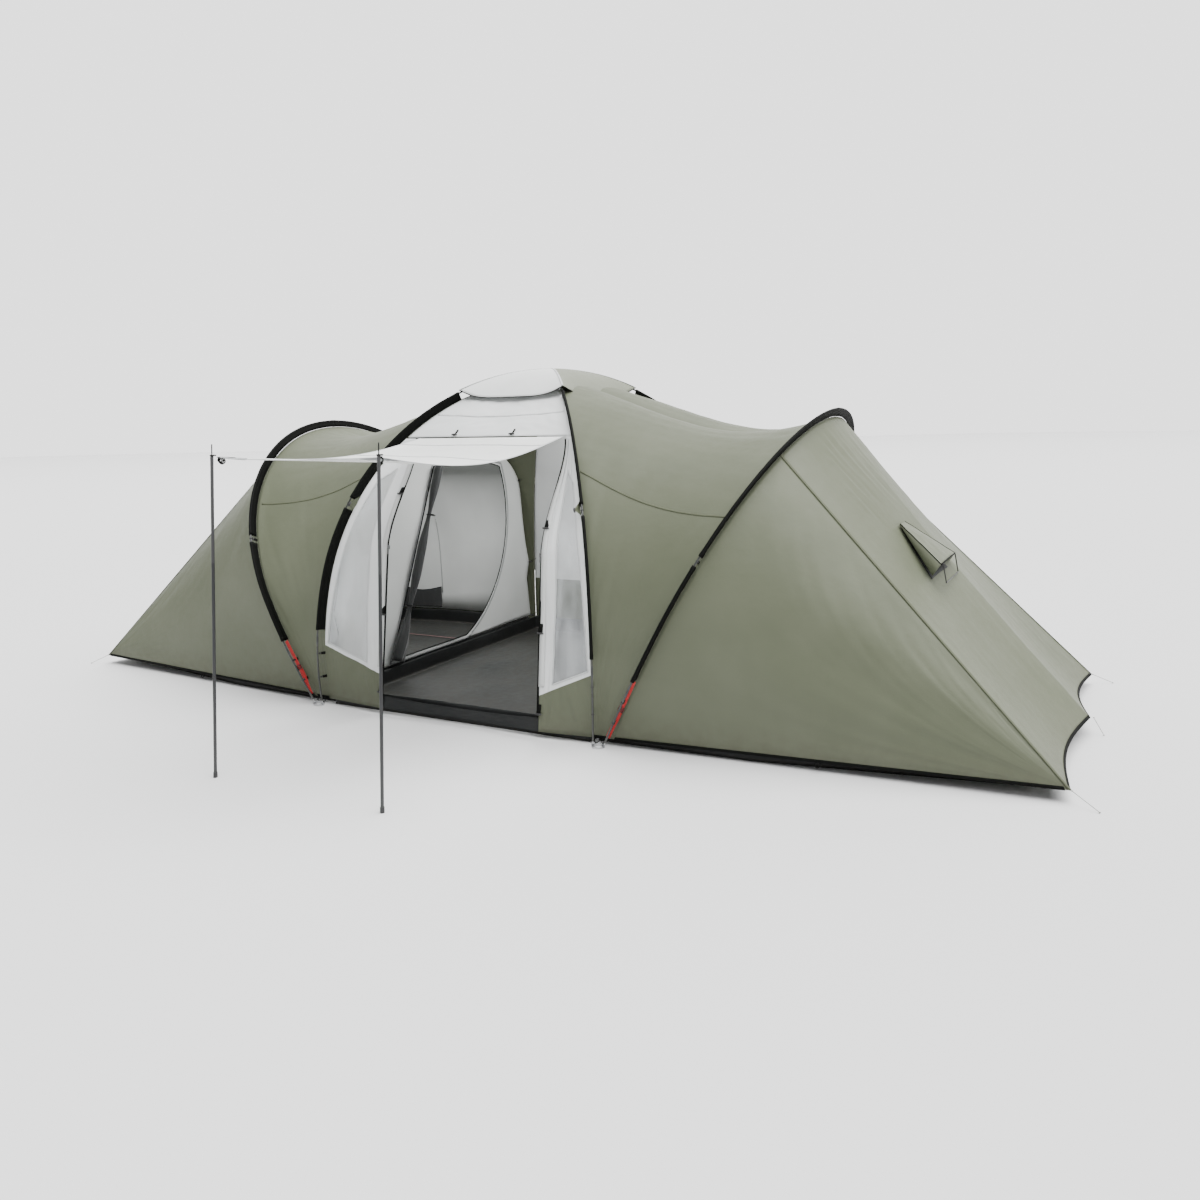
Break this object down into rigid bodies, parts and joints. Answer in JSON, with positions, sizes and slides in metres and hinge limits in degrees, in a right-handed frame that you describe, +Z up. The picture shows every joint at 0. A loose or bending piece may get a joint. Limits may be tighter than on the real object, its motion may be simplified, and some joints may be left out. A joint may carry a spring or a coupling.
{
  "type": "tent on poles",
  "caption": "Family tunnel tent: crossed-pole dome with a sleeping tunnel at each side, cabins inside, and a door flap held out as a canopy on steel poles.",
  "frame": {"origin": "on the ground at the middle of the dome's four pole feet, under the pole crossing", "axes": "+X along the tent's length, -Y out of the door towards the canopy poles, +Z up"},
  "size_m": [6.68, 3.7474, 2.068],
  "materials": {
    "pole_fibreglass": "satin resin over glass fibre",
    "ferrule_steel": "satin",
    "elastic_cord": "braided",
    "sleeve_tape": "woven polyester tape",
    "corner_steel": "zinc plated",
    "red_webbing": "woven polyester webbing",
    "cap_cloth": "coated polyester",
    "light_cloth": "coated polyester",
    "flap_cloth": "coated polyester",
    "window_film": "clear film",
    "hem_binding": "woven tape",
    "groundsheet_cloth": "woven polyethylene",
    "cabin_cloth": "breathable polyester",
    "curtain_mesh": "insect mesh",
    "zip_tape": "coil zip on woven tape",
    "zip_metal": "black enamel",
    "canopy_pole_steel": "powder coat",
    "pole_fittings": "rubbed steel spike and black rubber foot",
    "prop_plastic": "satin",
    "olive_cloth": "coated polyester",
    "guy_cord": "braided"
  },
  "bodies": {
    "root": {"cabin_door_curtains": "curtain_mesh", "cabin_floor_left": "groundsheet_cloth", "cabin_floor_right": "groundsheet_cloth", "cabin_tent_left": "cabin_cloth", "cabin_tent_right": "cabin_cloth", "cabin_wall_left": "cabin_cloth", "cabin_wall_right": "cabin_cloth", "corner_rings_and_pins": "corner_steel", "dome_pole_left_front": "pole_fibreglass", "dome_pole_right_front": "pole_fibreglass", "dome_pole_sleeves": "sleeve_tape", "door_zip_tapes": "zip_tape", "end_panel_left": "olive_cloth", "end_panel_right": "olive_cloth", "front_wall_left": "light_cloth", "front_wall_right": "light_cloth", "front_windows": "window_film", "groundsheet": "groundsheet_cloth", "guy_knots": "guy_cord", "guy_line_left_front": "guy_cord", "guy_line_left_middle": "guy_cord", "guy_line_left_rear": "guy_cord", "guy_line_right_front": "guy_cord", "guy_line_right_middle": "guy_cord", "guy_line_right_rear": "guy_cord", "hem_tape": "hem_binding", "hoop_pole_left": "pole_fibreglass", "hoop_pole_right": "pole_fibreglass", "hoop_sleeve_left": "sleeve_tape", "hoop_sleeve_right": "sleeve_tape", "hoop_sleeve_straps": "red_webbing", "overdoor_panel": "light_cloth", "pole_ferrules": "ferrule_steel", "pole_shock_cords": "elastic_cord", "rear_panel": "light_cloth", "roof_cap": "cap_cloth", "side_panel_front_left": "olive_cloth", "side_panel_front_right": "olive_cloth", "side_panel_rear_left": "olive_cloth", "side_panel_rear_right": "olive_cloth", "tunnel_front_left": "olive_cloth", "tunnel_front_right": "olive_cloth", "tunnel_rear_left": "olive_cloth", "tunnel_rear_right": "olive_cloth"},
    "door_flap_upper": {"door_flap_upper": "flap_cloth"},
    "door_flap_middle": {"door_flap_middle": "flap_cloth"},
    "door_flap_lower": {"door_flap_lower": "flap_cloth"},
    "canopy_pole_left": {"canopy_pole_left": "canopy_pole_steel", "canopy_pole_fittings_left": "pole_fittings"},
    "canopy_pole_right": {"canopy_pole_right": "canopy_pole_steel", "canopy_pole_fittings_right": "pole_fittings"},
    "door_slider_left": {"door_zip_slider_left": "zip_metal"},
    "door_slider_right": {"door_zip_slider_right": "zip_metal"},
    "cabin_slider_left": {"cabin_zip_slider_left": "zip_metal"},
    "cabin_slider_right": {"cabin_zip_slider_right": "zip_metal"},
    "vent_hood_left": {"vent_hood_left": "olive_cloth"},
    "vent_hood_right": {"vent_hood_right": "olive_cloth"},
    "vent_props_left": {"vent_props_left": "prop_plastic"},
    "vent_props_right": {"vent_props_right": "prop_plastic"}
  },
  "joints": [
    {"name": "door_flap_fold", "type": "hinge", "parent": "root", "child": "door_flap_upper", "pos_m": [0, -0.80008, 1.625], "axis": [1, 0, 0], "range_deg": [0, 55.5]},
    {"name": "door_flap_bend_middle", "type": "hinge", "parent": "door_flap_upper", "child": "door_flap_middle", "pos_m": [0, -1.15658, 1.5749], "axis": [1, 0, 0], "range_deg": [0, 10.3]},
    {"name": "door_flap_bend_lower", "type": "hinge", "parent": "door_flap_middle", "child": "door_flap_lower", "pos_m": [0, -1.69606, 1.55134], "axis": [1, 0, 0], "range_deg": [0, 18.8]},
    {"name": "canopy_pole_fall_left", "type": "hinge", "parent": "root", "child": "canopy_pole_left", "pos_m": [-0.545, -2.42, 0.0105], "axis": [1, 0, 0], "range_deg": [0, 89]},
    {"name": "canopy_pole_fall_right", "type": "hinge", "parent": "root", "child": "canopy_pole_right", "pos_m": [0.515, -2.42, 0.0105], "axis": [1, 0, 0], "range_deg": [0, 89]},
    {"name": "door_zip_left", "type": "slide", "parent": "root", "child": "door_slider_left", "axis": [0.0294, -0.1313, -0.9909], "range_m": [0, 0.78]},
    {"name": "door_zip_right", "type": "slide", "parent": "root", "child": "door_slider_right", "axis": [0.0229, -0.1313, -0.9911], "range_m": [0, 0.78]},
    {"name": "cabin_zip_left", "type": "slide", "parent": "root", "child": "cabin_slider_left", "axis": [0, -0.3656, -0.9308], "range_m": [0, 1]},
    {"name": "cabin_zip_right", "type": "slide", "parent": "root", "child": "cabin_slider_right", "axis": [0, -0.3656, -0.9308], "range_m": [0, 1]},
    {"name": "vent_close_left", "type": "hinge", "parent": "root", "child": "vent_hood_left", "pos_m": [-2.3679, -0.25853, 1.11852], "axis": [0, -1, 0], "range_deg": [0, 10.5]},
    {"name": "vent_prop_fold_left", "type": "hinge", "parent": "root", "child": "vent_props_left", "pos_m": [-2.62105, -0.44853, 0.83439], "axis": [0, -1, 0], "range_deg": [0, 126]},
    {"name": "vent_close_right", "type": "hinge", "parent": "root", "child": "vent_hood_right", "pos_m": [2.3679, -0.25853, 1.11852], "axis": [0, 1, 0], "range_deg": [0, 10.5]},
    {"name": "vent_prop_fold_right", "type": "hinge", "parent": "root", "child": "vent_props_right", "pos_m": [2.62105, -0.44853, 0.83439], "axis": [0, 1, 0], "range_deg": [0, 126]}
  ],
  "couplings": [
    {"joint": "door_flap_bend_middle", "follows": "door_flap_fold", "ratio": 0.18559},
    {"joint": "door_flap_bend_lower", "follows": "door_flap_fold", "ratio": 0.33874},
    {"joint": "vent_prop_fold_left", "follows": "vent_close_left", "ratio": 12},
    {"joint": "vent_prop_fold_right", "follows": "vent_close_right", "ratio": 12}
  ]
}
